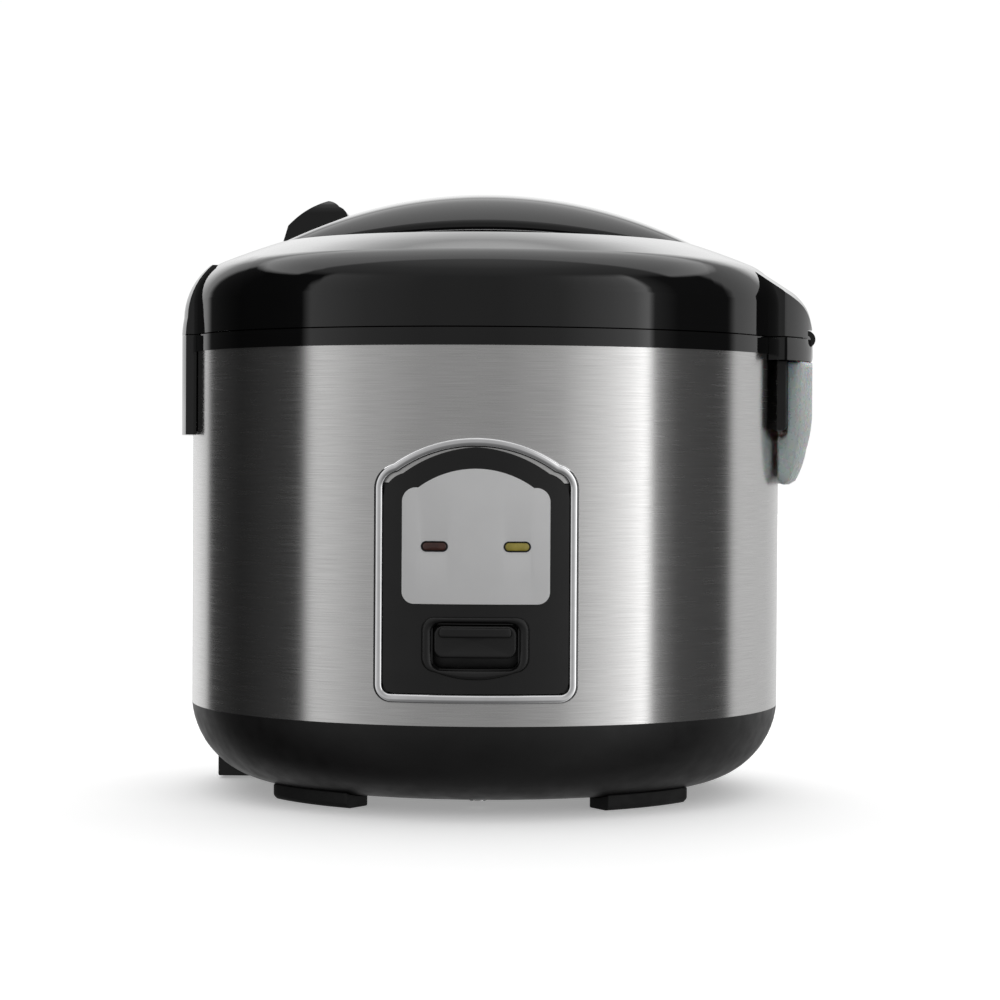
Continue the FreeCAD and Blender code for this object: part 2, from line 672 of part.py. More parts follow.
def heating():
    """Heating plate, its element, the sensor with its magnet, and the small electrical pieces."""
    bore = c["sensor_radius"] + 1
    low, top = plate_low, c["pot_bottom"]
    keep(turned([
        (bore, low), (plate_radius - 6, low), (plate_radius, low + 3),
        (plate_radius, top - 1.5), (plate_radius - 1.5, top), (bore, top)]), "heating_plate")
    ring = doc.addObject("Part::Torus", "Ring")
    bind(ring, Radius1=c["element_circle"], Radius2=c["element_radius"])
    ring.Angle3 = 325
    place(ring, z=low - c["element_radius"])
    keep(ring, "heating_element")
    legs = [cylinder(3, c["plate_leg"], 66 * math.cos(a), 66 * math.sin(a),
                     low - c["plate_leg"]) for a in (0.5, 2.6, 4.7)]
    keep(group(*legs), "plate_legs")

    cup_top = top - gap
    cup_low = cup_top - c["sensor_depth"]
    outer = c["sensor_radius"]
    keep(turned([
        (0, cup_top), (outer - 1.5, cup_top), (outer, cup_top - 1.5, 1.5, -1), (outer, cup_low),
        (outer - 1, cup_low), (outer - 1, cup_top - 1.2), (0, cup_top - 1.2)]), "sensor_cup")
    floor_top = c["shell_floor"] + c["shell_wall"]
    spring_height = cup_top - 1.2 - floor_top - 1.3
    keep(helix(14.3, 0.6, spring_height, 5, z=floor_top + 0.65), "sensor_spring")
    rod_low = arm_top + gap
    magnet_low = floor_top + c["magnet_rest"]
    magnet_top = magnet_low + c["magnet_thick"]
    rod = c["magnet_rod_radius"]
    keep(turned([
        (0, rod_low), (rod, rod_low), (rod, magnet_low), (c["magnet_radius"], magnet_low),
        (c["magnet_radius"], magnet_top), (0, magnet_top)]), "magnet_rod")

    pivot = -c["arm_pivot"]
    half, level = c["arm_half"], (arm_low + arm_top) / 2
    pin = c["arm_pin_radius"]
    bar = box((-half, stem_front + 0.5, arm_low), (half, rod, arm_top))
    boss = cylinder(c["arm_boss"], half * 2, -half, pivot, level, ALONG_X)
    bore_tool = cylinder(pin + c["pin_gap"], half * 2 + 2, -half - 1, pivot, level, ALONG_X)
    keep(cut(fuse(bar, boss), bore_tool), "switch_arm")
    cheek = c["cheek_thick"]
    across, along = half + 1.1 + cheek, c["cheek_half"]
    keep(cylinder(pin, across * 2, -across, pivot, level, ALONG_X), "arm_pin")
    hung = c["shell_floor"] - 1.5
    cheeks = [box((x, pivot - along, arm_low - 3), (x + cheek, pivot + along, hung))
              for x in (-across, across - cheek)]
    plate = box((-across, pivot - along, hung), (across, pivot + along, c["shell_floor"]))
    pin_hole = cylinder(pin, across * 2 + 2, -across - 1, pivot, level, ALONG_X)
    keep(cut(fuse(plate, *cheeks), pin_hole), "arm_bracket")

    near, top = cover_radius, c["switch_top"]
    keep(fuse(box((10, -near - 10, ledge_top), (30, -near, top)),
              box((14, -near - 7, top), (17, -near - 3, top + 1.5))), "microswitch")
    half, depth, tall = c["terminal_half"], c["terminal_depth"], c["terminal_height"]
    terminal = box((-half, cover_screws, ledge_top),
                   (half, cover_screws + depth, ledge_top + tall))
    wire_holes = [cylinder(1.6, tall / 2, x, cover_screws + depth / 2, ledge_top + 7)
                  for x in (-10, 0, 10)]
    keep(cut(terminal, *wire_holes), "terminal_block")
    keep(cylinder(2, 14, 26, 20, low - 2.05, ALONG_X), "thermal_fuse")


def curved(outline, inner, outer):
    """An outline seen from the front, as a patch between two radii."""
    front = padded("XZ_Plane", outline, wide, lift=wide / 2)
    low, high = c["foot_height"], sleeve_top
    return common(front, tube(outer, inner, low, high))


def arched(name, inset=0):
    """Outline of a plate with round lower corners, round shoulders and an arched top.

    The name picks the plate's cells, and the inset moves the whole outline inwards. A shoulder
    leaves the side upright, so its lower end follows from its radius and the kink it reaches.
    """
    inset = Formula(inset)
    low, top = c[f"{name}_low"] + inset, c[f"{name}_top"] - inset
    half = c[f"{name}_half"] - inset
    kink = half - c[f"{name}_kink"]
    shoulder = c[f"{name}_shoulder"] - inset
    radius, step = c[f"{name}_round"], c[f"{name}_kink"]
    side_top = shoulder - root(radius * radius - (radius - step) * (radius - step))
    corner = c[f"{name}_corner"] - inset * 0.6
    return mirrored([
        (0, low), (half - corner, low), (half, low + corner, corner, 1), (half, side_top),
        (kink, shoulder, radius, 1), (0, top, c[f"{name}_crown"] - inset, 1)])


def panel():
    """Chrome frame, black panel, label plate, lamps and the cook lever."""
    skin = wide + HOLE_GAP / 2
    face = wide + c["panel_proud"]
    plate_face = face + c["label_thick"]
    width = c["frame_width"]
    front = curved(arched("panel"), skin, wide + c["frame_proud"])
    opening = padded("XZ_Plane", arched("panel", width), wide, lift=wide / 2)
    keep(cut(front, opening), "panel_frame")

    panel_plate = curved(arched("panel", width + HOLE_GAP), skin, face)
    plug_box = box((-window_half + gap, -FAR, window_low + gap),
                   (window_half - gap, -wide / 2, window_top - gap))
    plug = common(plug_box, tube(skin, wide - 3, c["foot_height"], sleeve_top))
    travel = c["lever_travel"]
    slot_half = c["lever_half"] + 0.5
    slot = box((-slot_half, -FAR, c["lever_low"] - travel - 0.5),
               (slot_half, -wide / 2, c["lever_low"] + c["lever_height"] + 0.5))
    spread = c["lamp_spread"]
    lamp_holes = [lamp_window(side, HOLE_GAP) for side in (-1, 1)]
    keep(cut(fuse(panel_plate, plug), slot, *lamp_holes), "panel_body")
    keep(cut(curved(arched("label"), face, plate_face), *lamp_holes), "label_plate")
    for side, name in ((-1, "cook_lamp_lens"), (1, "warm_lamp_lens")):
        lens = common(lamp_window(side, 0), tube(plate_face + 0.5, wide - 4, 50, sleeve_top))
        keep(lens, name)

    low, top = c["bezel_low"], c["bezel_top"]
    half = c["bezel_half"]
    surround = curved(rounded(half, low, top, 8), face, face + 1.2)
    inner = c["bezel_width"]
    hollow = padded("XZ_Plane", rounded(half - inner, c["lever_low"] - travel - 0.5,
                                        c["lever_low"] + c["lever_height"] + 0.5, 3),
                    wide, lift=wide / 2)
    keep(cut(surround, hollow), "lever_bezel")

    lever_low = c["lever_low"]
    lever_top = lever_low + c["lever_height"]
    nub = common(padded("XZ_Plane", rounded(c["lever_half"], lever_low, lever_top, 3.5), wide,
                        lift=wide / 2),
                 tube(wide + c["lever_proud"], wide - 6.5, 40, 120))
    skirt_back = -(wide - 6.9)
    skirt = box((-c["lever_half"] - 2, skirt_back - 1.6, lever_low - travel - 5),
                (c["lever_half"] + 2, skirt_back, lever_top + 5))
    stem = box((-3.5, stem_front, arm_top + gap), (3.5, stem_front + 3, lever_low + 4))
    bridge = box((-3.5, skirt_back - 1, lever_low), (3.5, stem_front + 1, lever_low + 4))
    keep(fuse(nub, skirt, stem, bridge), "cook_lever")

    board_y = -(wide - 9)
    board = box((-22, board_y, c["lamp_level"] - 8), (22, board_y + 1.6, c["lamp_level"] + 8))
    bulbs = [cylinder(1.6, 3.4, side * spread, board_y, c["lamp_level"], ((1, 0, 0), 90))
             for side in (-1, 1)]
    plug_back = root((wide - 3) * (wide - 3) - 21 * 21)
    posts = [box((x, -plug_back, c["lamp_level"] - 8), (x + 2, board_y, c["lamp_level"] - 5))
             for x in (-21, 19)]
    keep(fuse(board, *bulbs, *posts), "lamp_board")


def lamp_window(side, grow):
    """The lozenge of a lamp's window as a bar through the panel."""
    half = c["lamp_half"] + grow
    height = c["lamp_half_height"] + grow
    level = c["lamp_level"]
    middle = c["lamp_spread"] * side
    flat = half - height
    radius = height * 1.001
    return padded("XZ_Plane", [
        (middle + flat, level - height), (middle + half, level, radius, 1),
        (middle + flat, level + height, radius, 1), (middle - flat, level + height),
        (middle - half, level, radius, 1), (middle - flat, level - height, radius, 1)],
        wide, lift=wide / 2)


def rounded(half, low, top, radius):
    """A rectangle with round corners, symmetrical about the middle."""
    half, low, top = Formula(half), Formula(low), Formula(top)
    return mirrored([
        (0, low), (half - radius, low), (half, low + radius, radius, 1), (half, top - radius),
        (half - radius, top, radius, 1), (0, top)])


def pot():
    """Inner pot: straight wall, round corner, flat bottom and a rim that rests on the ledge."""
    outer, wall = pot_radius, c["pot_wall"]
    low, bend = c["pot_bottom"], c["pot_corner"]
    keep(turned([
        (0, low), (outer - bend, low), (outer, low + bend, bend, 1), (outer, ledge),
        (pot_rim, ledge), (pot_rim, ledge + wall), (outer - wall, ledge + wall),
        (outer - wall, low + bend), (outer - bend, low + wall, bend - wall, -1),
        (0, low + wall)]), "inner_pot")


def within_ear(item, inset=0):
    """What of an item lies inside the hinge side's outer face, moved inwards by an inset."""
    column = cylinder(c["ear_plan"] - Formula(inset), FAR * 2, ear - c["ear_plan"])
    return common(item, column)


def hinge():
    """Hinge housing on the collar, its pin and spring, the bracket and the collector."""
    skin = wide + c["collar_proud"] + HOLE_GAP / 2
    spread = c["ear_half_angle"] * 2
    housing = within_ear(turned([
        (skin, ear_low), (ear - 0.7, ear_low), (ear, ear_low + 2.3), (ear, collar_top),
        (skin, collar_top)], spread))
    reach, level = hinge_reach, hinge_level
    room = c["knuckle_radius"] + c["knuckle_gap"]
    long, middle = c["hinge_half"], c["lid_knuckle_half"] + c["knuckle_gap"]
    notch = box((reach - room, -middle, level - room), (FAR, middle, FAR))
    knuckles = [cylinder(c["knuckle_radius"], long - middle, reach, y, level, ALONG_Y)
                for y in (-long, middle)]
    pin_hole = cylinder(c["pin_radius"] + 0.02, long * 2, reach, -long, level, ALONG_Y)
    drain = box((skin + 1.5, -9, FAR / 2), (skin + 4.5, 9, FAR))
    keep(cut(fuse(cut(housing, notch), *knuckles), pin_hole, drain), "hinge_housing")
    keep(cylinder(c["pin_radius"], long * 2, reach, -long, level, ALONG_Y), "hinge_pin")
    coil = c["spring_half"] - 0.6
    keep(helix(c["pin_radius"] + 0.7, 0.4, coil * 2 - 0.9, 4, reach, -coil + 0.45, level,
               ALONG_Y), "hinge_spring")

    outer = wide + c["bracket_proud"]
    inner = outer - c["bracket_wall"]
    low = ear_low - c["bracket_drop"]
    angle = c["bracket_half_angle"] * 2
    keep(turned([
        (inner, low), (outer - 1, low), (outer, low + 1), (outer, ear_low), (inner, ear_low)],
        angle), "collector_bracket")
    wall = c["collector_wall"]
    top = ear_low - gap
    bottom = top - c["collector_height"]
    back = outer + 0.5
    tuck = wide + 1.3
    shelf = low - 1.5
    angle = c["collector_half_angle"] * 2
    cup = turned([
        (back, top), (back, shelf), (tuck, shelf - 3), (tuck, bottom + 3),
        (tuck + 2.7, bottom, 3, 1), (ear - 6.2, bottom + 3.2), (ear - 2.1, bottom + 14.7, 40, 1),
        (ear, bottom + 28, 60, 1), (ear, top)], angle)
    hollow = turned([
        (back + wall, top + 1), (back + wall, shelf - 1), (tuck + wall, shelf - 4.4),
        (tuck + wall, bottom + 3.4), (ear - 7, bottom + 4.6),
        (ear - 2.1 - wall, bottom + 15.2, 40, 1), (ear - wall, bottom + 28, 60, 1),
        (ear - wall, top + 1)], angle - 1.3)
    keep(cut(within_ear(cup), within_ear(hollow, wall)), "condensate_collector")


def latch():
    """Cover over the latch, the sprung lever and its pin."""
    skin = wide + c["collar_proud"] + HOLE_GAP / 2
    outer = latch_outside
    low = sleeve_top - c["latch_drop"]
    cover = turned([(skin, low), (outer, low), (outer, collar_top), (skin, collar_top)],
                   c["latch_half_angle"] * 2, TO_LATCH)
    half = c["latch_half"]
    window = box((-FAR, -half - 0.4, low + 3.6), (-wide / 2, half + 0.4, sleeve_top))
    arm_half = c["latch_arm_half"]
    reach, pivot = latch_pivot, sleeve_top - c["latch_pivot_drop"]
    notch = box((-reach - 0.9, -arm_half - 0.5, sleeve_top - 1),
                (-wide / 2, arm_half + 0.5, FAR))
    radius = c["latch_pin_radius"]
    pin_half = half + 3
    pin_hole = cylinder(radius, pin_half * 2, -reach, -pin_half, pivot, ALONG_Y)
    keep(cut(cover, window, notch, pin_hole), "latch_cover")
    keep(cylinder(radius, pin_half * 2, -reach, -pin_half, pivot, ALONG_Y), "latch_pin")

    lever_low = low + 4.2
    lever_top = sleeve_top - 0.4
    inside = wide + c["latch_swing_room"]
    plate = common(tube(outer - 0.1, inside, lever_low, lever_top),
                   box((-FAR, -half, lever_low), (0, half, lever_top)))
    arm_face, above = reach + 0.5 - c["latch_arm_thick"], sleeve_top + 0.7
    arm = fuse(box((-reach - 0.5, -arm_half, lever_top - 4), (-inside, arm_half, above)),
               box((-reach - 0.5, -arm_half, above),
                   (-arm_face, arm_half, lid_under + c["latch_arm_top"])))
    running = cylinder(radius + c["pin_gap"], pin_half * 2, -reach, -pin_half, pivot, ALONG_Y)
    grip = cylinder(5, half * 1.2, -outer - 3.2, -half * 0.6, lever_low + 7, ALONG_Y)
    keep(cut(fuse(plate, arm), running, grip), "latch_lever")
    coil_length = arm_face - (wide - 2.4) + 4.3
    keep(helix(1.6, 0.3, coil_length - 0.8, 5, -arm_face + 0.45, 0, spring_level, ALONG_X),
         "latch_spring")


def ear_block(lowest, spread):
    """The lid's half of the hinge ear, before it is cut for the knuckles."""
    return turned([
        (wide - 1.2, lowest), (ear, lowest), (ear - 1.3, lowest + 8, 60, 1),
        (ear - 3, lowest + 12.6, 20, 1), (ear - 8, lowest + 18.3, 24, 1),
        (wide - c["shoulder_inset"] + 0.8, lowest + c["shoulder_rise"] - 0.4)], spread)


def lid():
    """Lid shell with its hinge ear, latch ear, finger recess, handle seats and vent boss."""
    wall = c["lid_wall"]
    under = lid_under
    skirt = under + c["lid_skirt"]
    bend = wide - c["shoulder_inset"], under + c["shoulder_rise"]
    lip = c["handle_length"] / 2, under + c["lip_rise"]
    floor = under + c["recess_rise"]
    round_over = c["lid_round"]
    slope, dish = c["lid_slope"], c["recess_dish"]
    shell = turned([
        (wide - wall, under), (wide, under), (wide, skirt), (*bend, round_over, 1),
        (*lip, slope, 1), (c["recess_radius"], floor + 1, dish, -1), (0, floor),
        (0, floor - wall), (c["recess_radius"] - 1, floor + 1 - wall),
        (lip[0], lip[1] - wall * 1.4, dish + wall, 1), (bend[0] - 1.2, bend[1] - wall, slope, -1),
        (wide - wall, skirt, round_over - wall, -1)])
    hinge_ear = within_ear(ear_block(under, c["ear_half_angle"] * 2))
    latch_reach = latch_outside + HOLE_GAP
    latch_ear = turned([
        (wide - 2, under), (latch_reach, under), (latch_reach - 0.8, under + 7, 40, 1),
        (latch_reach - 10.7, under + 27.9, 28, 1), (wide - 10, under + 27.9)],
        c["latch_half_angle"] * 2, TO_LATCH)

    reach, level = hinge_reach, hinge_level
    room = c["knuckle_radius"] + c["knuckle_gap"]
    long = c["hinge_half"] + c["knuckle_gap"]
    outside = box((reach - 0.1, -FAR, 0), (FAR, FAR, level + room - 0.3))
    barrel_room = box((reach - room, -long, 0), (FAR, long, level + room))
    knuckle, near = c["lid_knuckle_half"], c["spring_half"]
    barrels = []
    for y in (-knuckle, near):
        barrels.append(cylinder(c["knuckle_radius"], knuckle - near, reach, y, level, ALONG_Y))
        barrels.append(box((reach - c["knuckle_radius"], y, level),
                           (reach, y + knuckle - near, level + room + 1)))
    pin_hole = cylinder(c["pin_radius"] + c["pin_gap"], long * 2, reach, -long, level, ALONG_Y)
    hollow = box((wide - 1, -12, 0), (reach - room - 3, 12, under + 12))

    seat_top = under + c["seat_rise"]
    seats = [box((x, -c["seat_half"], floor - wall - 2),
                 (x + c["seat_length"], c["seat_half"], seat_top))
             for x in (seat_near, -seat_far)]
    vent_x, vent_y = -c["vent_x"], c["vent_y"]
    boss_low = floor - 1
    boss_top = under + c["vent_boss_rise"]
    boss = cylinder(c["vent_boss"], boss_top - boss_low, vent_x, vent_y, boss_low)
    vent_hole = cylinder(c["vent_tube_radius"] + gap, FAR, vent_x, vent_y, under)
    circle = c["lid_screw_circle"]
    boss_length = floor + 6 - liner_top
    screw_bosses = holes(circle, 4, liner_top, boss_length, LID_SCREWS)
    screw_holes = holes(circle, screw + HOLE_GAP, liner_top - 1, 12, LID_SCREWS)
    seat_holes = [cylinder(screw + HOLE_GAP, FAR, x, 0, under) for x in handle_screw_places]
    arm_half = c["latch_arm_half"] + 0.5
    latch_room = box((-latch_pivot - 0.9, -arm_half, 0), (-wide + 3.4, arm_half, under + 7))
    base_shape = cut(fuse(shell, hinge_ear, latch_ear), outside, barrel_room, hollow, latch_room)
    solid = fuse(base_shape, *barrels, *seats, boss, *screw_bosses)
    keep(cut(solid, pin_hole, vent_hole, *screw_holes, *seat_holes), "lid_shell")


def arch_radius(reach, rise):
    """Radius of an arch that rises this far in the middle and reaches this far to each side."""
    return (reach * reach + rise * rise) / (rise * 2)


def handle():
    """Arched handle that bridges the finger recess, and the screws that hold it."""
    crown = lid_under + c["handle_rise"]
    axis = crown - c["handle_axis"]
    seat = lid_under + c["seat_rise"] + 0.06
    half = c["handle_length"] / 2
    tip, edge = half - 1.5, lid_under + c["tip_rise"]
    near, hollow = seat_near - 1, seat_near - 4
    inside, hollow_top = crown - c["handle_thick"], seat + 6
    outer_arch = arch_radius(tip, crown - edge)
    inner_arch = arch_radius(hollow, inside - hollow_top)
    arch_body = new_body()
    revolve(arch_body, mirrored([
        (0, inside - axis, inner_arch, -1), (hollow, hollow_top - axis, inner_arch, -1),
        (near, seat - 1 - axis), (tip, seat - 1 - axis), (tip, edge - axis),
        (0, crown - axis, outer_arch, 1)]), 110, axis="H_Axis", rise=axis)
    middle = lid_under + c["rim_rise"]
    rim_arch = arch_radius(near, middle - seat)
    below_rim = padded("XZ_Plane", mirrored([
        (0, middle, rim_arch, -1), (near, seat, rim_arch, -1), (FAR, seat), (FAR, seat - 30)]),
        FAR, both_ways=True)
    plan = doc.addObject("Part::Ellipse", "Plan")
    bind(plan, MajorRadius=half, MinorRadius=c["handle_width"] / 2)
    place(plan, z=lid_under)
    column = doc.addObject("Part::Extrusion", "Column")
    column.Base = plan
    column.DirMode = "Custom"
    column.Dir = Vector(0, 0, 1)
    column.LengthFwd = 80
    column.Solid = True
    bores = [cylinder(screw + HOLE_GAP, seat + 2.5 - lid_under, x, 0, lid_under)
             for x in handle_screw_places]
    keep(cut(common(arch_body, column), below_rim, *bores), "lid_handle")
    floor = lid_under + c["recess_rise"]
    low = floor - c["lid_wall"] - 2
    made = []
    for x in handle_screw_places:
        shank = cylinder(screw, seat + 2 - low, x, 0, low)
        head = cylinder(c["screw_head"], HEAD_THICK, x, 0, low - HEAD_THICK)
        made.append(fuse(shank, head))
    keep(group(*made), "handle_screws")


def lid_inside():
    """Liner, inner lid plate, gasket, grommet, vent tube, vent cap and lid screws."""
    under = lid_under
    step, wall = liner_step, c["liner_wall"]
    rim = wide - c["lid_wall"] - gap
    low, top = liner_low, liner_top
    bore = c["grommet_radius"] + 0.2
    liner = turned([
        (bore, low), (step, low), (step, under + 0.2), (rim, under + 0.2), (rim, under + 2.2),
        (step + wall, under + 2.2), (step + wall, top), (bore, top)])
    vent_x, vent_y = -c["vent_x"], c["vent_y"]
    steam_hole = cylinder(c["vent_bore"], 20, vent_x, vent_y, under)
    circle = c["lid_screw_circle"]
    keep(cut(liner, steam_hole, *holes(circle, screw + HOLE_GAP, under, 20, LID_SCREWS)),
         "lid_liner")
    keep(screws(circle, low, 12, LID_SCREWS), "lid_screws")

    plate_low_level = under + 0.2
    plate_top = plate_low_level + c["plate_inner_thick"]
    plate = turned([
        (bore, plate_low_level), (inner_plate, plate_low_level),
        (inner_plate, plate_top), (bore, plate_top)])
    steam = [cylinder(c["steam_hole"], 10, vent_x + 7 * math.cos(a), vent_y + 7 * math.sin(a), under - 2)
             for a in [step_round * math.pi / 3 for step_round in range(6)]]
    keep(cut(plate, *steam), "inner_lid_plate")
    inner = inner_plate + HOLE_GAP
    outer = inner + c["gasket_width"]
    seal = ledge + c["pot_wall"] + gap
    keep(turned([
        (inner, plate_low_level - 1.2), (inner + 1.6, seal), (outer - 1, seal),
        (outer, seal + 1.5), (outer, low), (inner, low)]), "lid_gasket")
    hub = c["grommet_radius"]
    keep(turned([
        (0, plate_low_level - 2.4), (hub + 2, plate_low_level - 2.4),
        (hub + 3.6, plate_low_level - 1.2, 1.6, 1), (hub + 3.6, plate_low_level - 0.05),
        (hub, plate_low_level - 0.05), (hub, top + 0.1), (hub + 2.4, top + 0.1),
        (hub + 1, top + 2.4), (0, top + 2.4)]), "plate_grommet")

    boss_top = under + c["vent_boss_rise"]
    tube_out, tube_in = c["vent_tube_radius"], c["vent_bore"]
    vent = fuse(cylinder(tube_out, boss_top - top, vent_x, vent_y, top),
                cylinder(tube_out + 3.4, 1.5, vent_x, vent_y, top))
    keep(cut(vent, cylinder(tube_in, FAR, vent_x, vent_y, under)), "vent_tube")

    cap_low = boss_top + 0.4
    rise = c["cap_height"]
    half = c["cap_half"]
    side_view = padded("XZ_Plane", [
        (vent_x - half, cap_low), (vent_x + half, cap_low), (vent_x + half, cap_low + 11),
        (vent_x + half - 3.5, cap_low + 14.6, 6, 1), (vent_x + 5.2, cap_low + rise, 7, 1),
        (vent_x - half + 2, cap_low + 6.5, 40, 1)], FAR, both_ways=True)
    across = padded("YZ_Plane", [
        (vent_y - half, cap_low - 1), (vent_y + half, cap_low - 1),
        (vent_y + half, cap_low + rise - 6), (vent_y + half - 6, cap_low + rise + 1, 8, 1),
        (vent_y - half + 5, cap_low + rise + 1), (vent_y - half, cap_low + rise - 5, 8, 1)],
        FAR * 2, both_ways=True)
    stem_low = boss_top - 20
    stem = cylinder(c["cap_stem"], cap_low + 2 - stem_low, vent_x, vent_y, stem_low)
    bore_tool = cylinder(c["cap_stem"] - 1.4, rise - 5 + 20, vent_x, vent_y, stem_low - 1)
    outlets = [box((vent_x - 6, vent_y + 4, cap_low + 6 + lift),
                   (vent_x + 8, vent_y + half + 2, cap_low + 7.6 + lift)) for lift in (0, 3)]
    keep(cut(fuse(common(side_view, across), stem), bore_tool, *outlets), "steam_vent_cap")


base()
body()
heating()
panel()
pot()
hinge()
latch()
lid()
handle()
lid_inside()
doc.recompute()

for item in doc.Objects:
    if "Invalid" in item.State or "Error" in item.State:
        raise RuntimeError(f"{item.Name} ({item.Label}) is {item.State}")
for item in nodes:
    shape = item.Shape
    if shape.isNull() or not shape.isValid() or not shape.Solids:
        raise RuntimeError(f"{item.Label} has no valid solid")

os.makedirs("parts", exist_ok=True)
for item in nodes:
    item.Shape.exportStep(f"parts/{item.Label}.step")
print(len(nodes), "sub-parts written")
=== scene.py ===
"""Looks of the rice cooker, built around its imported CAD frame. Lengths are in metres."""
import json
import math

import bmesh
import bpy
from mathutils import Matrix, Vector


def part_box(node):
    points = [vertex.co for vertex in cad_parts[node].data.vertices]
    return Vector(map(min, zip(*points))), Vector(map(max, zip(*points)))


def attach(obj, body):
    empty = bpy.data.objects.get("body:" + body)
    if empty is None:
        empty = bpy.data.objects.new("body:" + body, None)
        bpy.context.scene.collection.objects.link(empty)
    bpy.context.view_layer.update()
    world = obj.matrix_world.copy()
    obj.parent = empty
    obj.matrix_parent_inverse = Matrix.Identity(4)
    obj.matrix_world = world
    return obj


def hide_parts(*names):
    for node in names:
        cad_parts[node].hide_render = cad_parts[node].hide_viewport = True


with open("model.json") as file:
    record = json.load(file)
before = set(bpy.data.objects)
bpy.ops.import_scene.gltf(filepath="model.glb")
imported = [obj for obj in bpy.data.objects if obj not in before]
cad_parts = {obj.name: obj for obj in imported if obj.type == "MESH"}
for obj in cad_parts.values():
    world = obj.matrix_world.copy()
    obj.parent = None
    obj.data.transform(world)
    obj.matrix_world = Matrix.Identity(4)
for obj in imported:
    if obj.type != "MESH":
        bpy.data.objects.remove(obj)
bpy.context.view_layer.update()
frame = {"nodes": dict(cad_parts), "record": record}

MM = 0.001
nodes = frame["nodes"]


# ---------------------------------------------------------------- materials
class Shader:
    """A node material with short calls for the nodes used here."""

    def __init__(self, name):
        self.material = bpy.data.materials.new(name)
        self.material.use_nodes = True
        self.tree = self.material.node_tree
        self.surface = self.tree.nodes["Principled BSDF"]

    def add(self, kind, **values):
        node = self.tree.nodes.new(kind)
        for key, value in values.items():
            if key in node.inputs:
                node.inputs[key].default_value = value
            else:
                setattr(node, key, value)
        return node

    def link(self, source, target):
        self.tree.links.new(source, target)

    def set(self, **values):
        for key, value in values.items():
            self.surface.inputs[key.replace("_", " ")].default_value = value

    def place(self):
        return self.add("ShaderNodeTexCoord").outputs["Object"]

    def around(self, along, up):
        """Coordinates wrapped round the body's axis, stretched along the turn and up the wall."""
        split = self.add("ShaderNodeSeparateXYZ")
        self.link(self.place(), split.inputs[0])
        angle = self.add("ShaderNodeMath", operation="ARCTAN2")
        self.link(split.outputs["X"], angle.inputs[0])
        self.link(split.outputs["Y"], angle.inputs[1])
        joined = self.add("ShaderNodeCombineXYZ")
        for source, scale, target in ((angle.outputs[0], along, "X"),
                                      (split.outputs["Z"], up, "Y")):
            times = self.add("ShaderNodeMath", operation="MULTIPLY")
            times.inputs[1].default_value = scale
            self.link(source, times.inputs[0])
            self.link(times.outputs[0], joined.inputs[target])
        return joined.outputs[0]

    def noise(self, scale, detail=3.0, where=None):
        node = self.add("ShaderNodeTexNoise", Scale=scale, Detail=detail)
        self.link(where or self.place(), node.inputs["Vector"])
        return node.outputs["Fac"]

    def spread(self, factor, low, high):
        """The factor's usual range, mapped to low and high."""
        node = self.add("ShaderNodeMapRange")
        node.inputs["From Min"].default_value = 0.3
        node.inputs["From Max"].default_value = 0.7
        node.inputs["To Min"].default_value = low
        node.inputs["To Max"].default_value = high
        self.link(factor, node.inputs["Value"])
        return node.outputs["Result"]

    def vary_roughness(self, factor, low, high):
        self.link(self.spread(factor, low, high), self.surface.inputs["Roughness"])

    def vary_colour(self, factor, dark, light):
        node = self.add("ShaderNodeMix", data_type="RGBA")
        node.inputs["A"].default_value = (*dark, 1)
        node.inputs["B"].default_value = (*light, 1)
        self.link(self.spread(factor, 0.0, 1.0), node.inputs["Factor"])
        self.link(node.outputs["Result"], self.surface.inputs["Base Color"])

    def bump(self, factor, height, strength=1.0):
        node = self.add("ShaderNodeBump", Distance=height, Strength=strength)
        self.link(factor, node.inputs["Height"])
        self.link(node.outputs["Normal"], self.surface.inputs["Normal"])


def gloss_plastic(name, dark, light, rough=(0.03, 0.07)):
    """Polished plastic: faint haze and the slow waviness of a moulding."""
    shader = Shader(name)
    shader.vary_colour(shader.noise(45), dark, light)
    shader.vary_roughness(shader.noise(90, 5), *rough)
    shader.bump(shader.noise(28, 1), 0.00002)
    return shader.material


def satin_plastic(name, dark, light, rough=(0.38, 0.5), grain=2200, depth=0.00002):
    """Moulded plastic with a fine spark-eroded grain."""
    shader = Shader(name)
    shader.vary_colour(shader.noise(60), dark, light)
    shader.vary_roughness(shader.noise(150, 4), *rough)
    shader.bump(shader.noise(grain, 2), depth, 0.6)
    return shader.material


def brushed(name, dark, light, rough=(0.2, 0.28), anisotropic=0.85, up=5200.0):
    """Metal brushed round the body's axis."""
    shader = Shader(name)
    lines = shader.noise(1.0, 4, shader.around(7.0, up))
    shader.set(Metallic=1.0, Anisotropic=anisotropic, Anisotropic_Rotation=0.25)
    shader.vary_colour(lines, dark, light)
    shader.vary_roughness(shader.noise(1.0, 2, shader.around(5.0, up * 0.4)), *rough)
    shader.bump(lines, 0.000004, 0.5)
    tangent = shader.add("ShaderNodeTangent", direction_type="RADIAL", axis="Z")
    shader.link(tangent.outputs[0], shader.surface.inputs["Tangent"])
    return shader.material


def plain_metal(name, dark, light, rough=(0.2, 0.34)):
    """Rolled or plated metal with a fine even grain."""
    shader = Shader(name)
    shader.set(Metallic=1.0)
    shader.vary_colour(shader.noise(220), dark, light)
    shader.vary_roughness(shader.noise(900, 4), *rough)
    shader.bump(shader.noise(1500, 2), 0.000004, 0.4)
    return shader.material


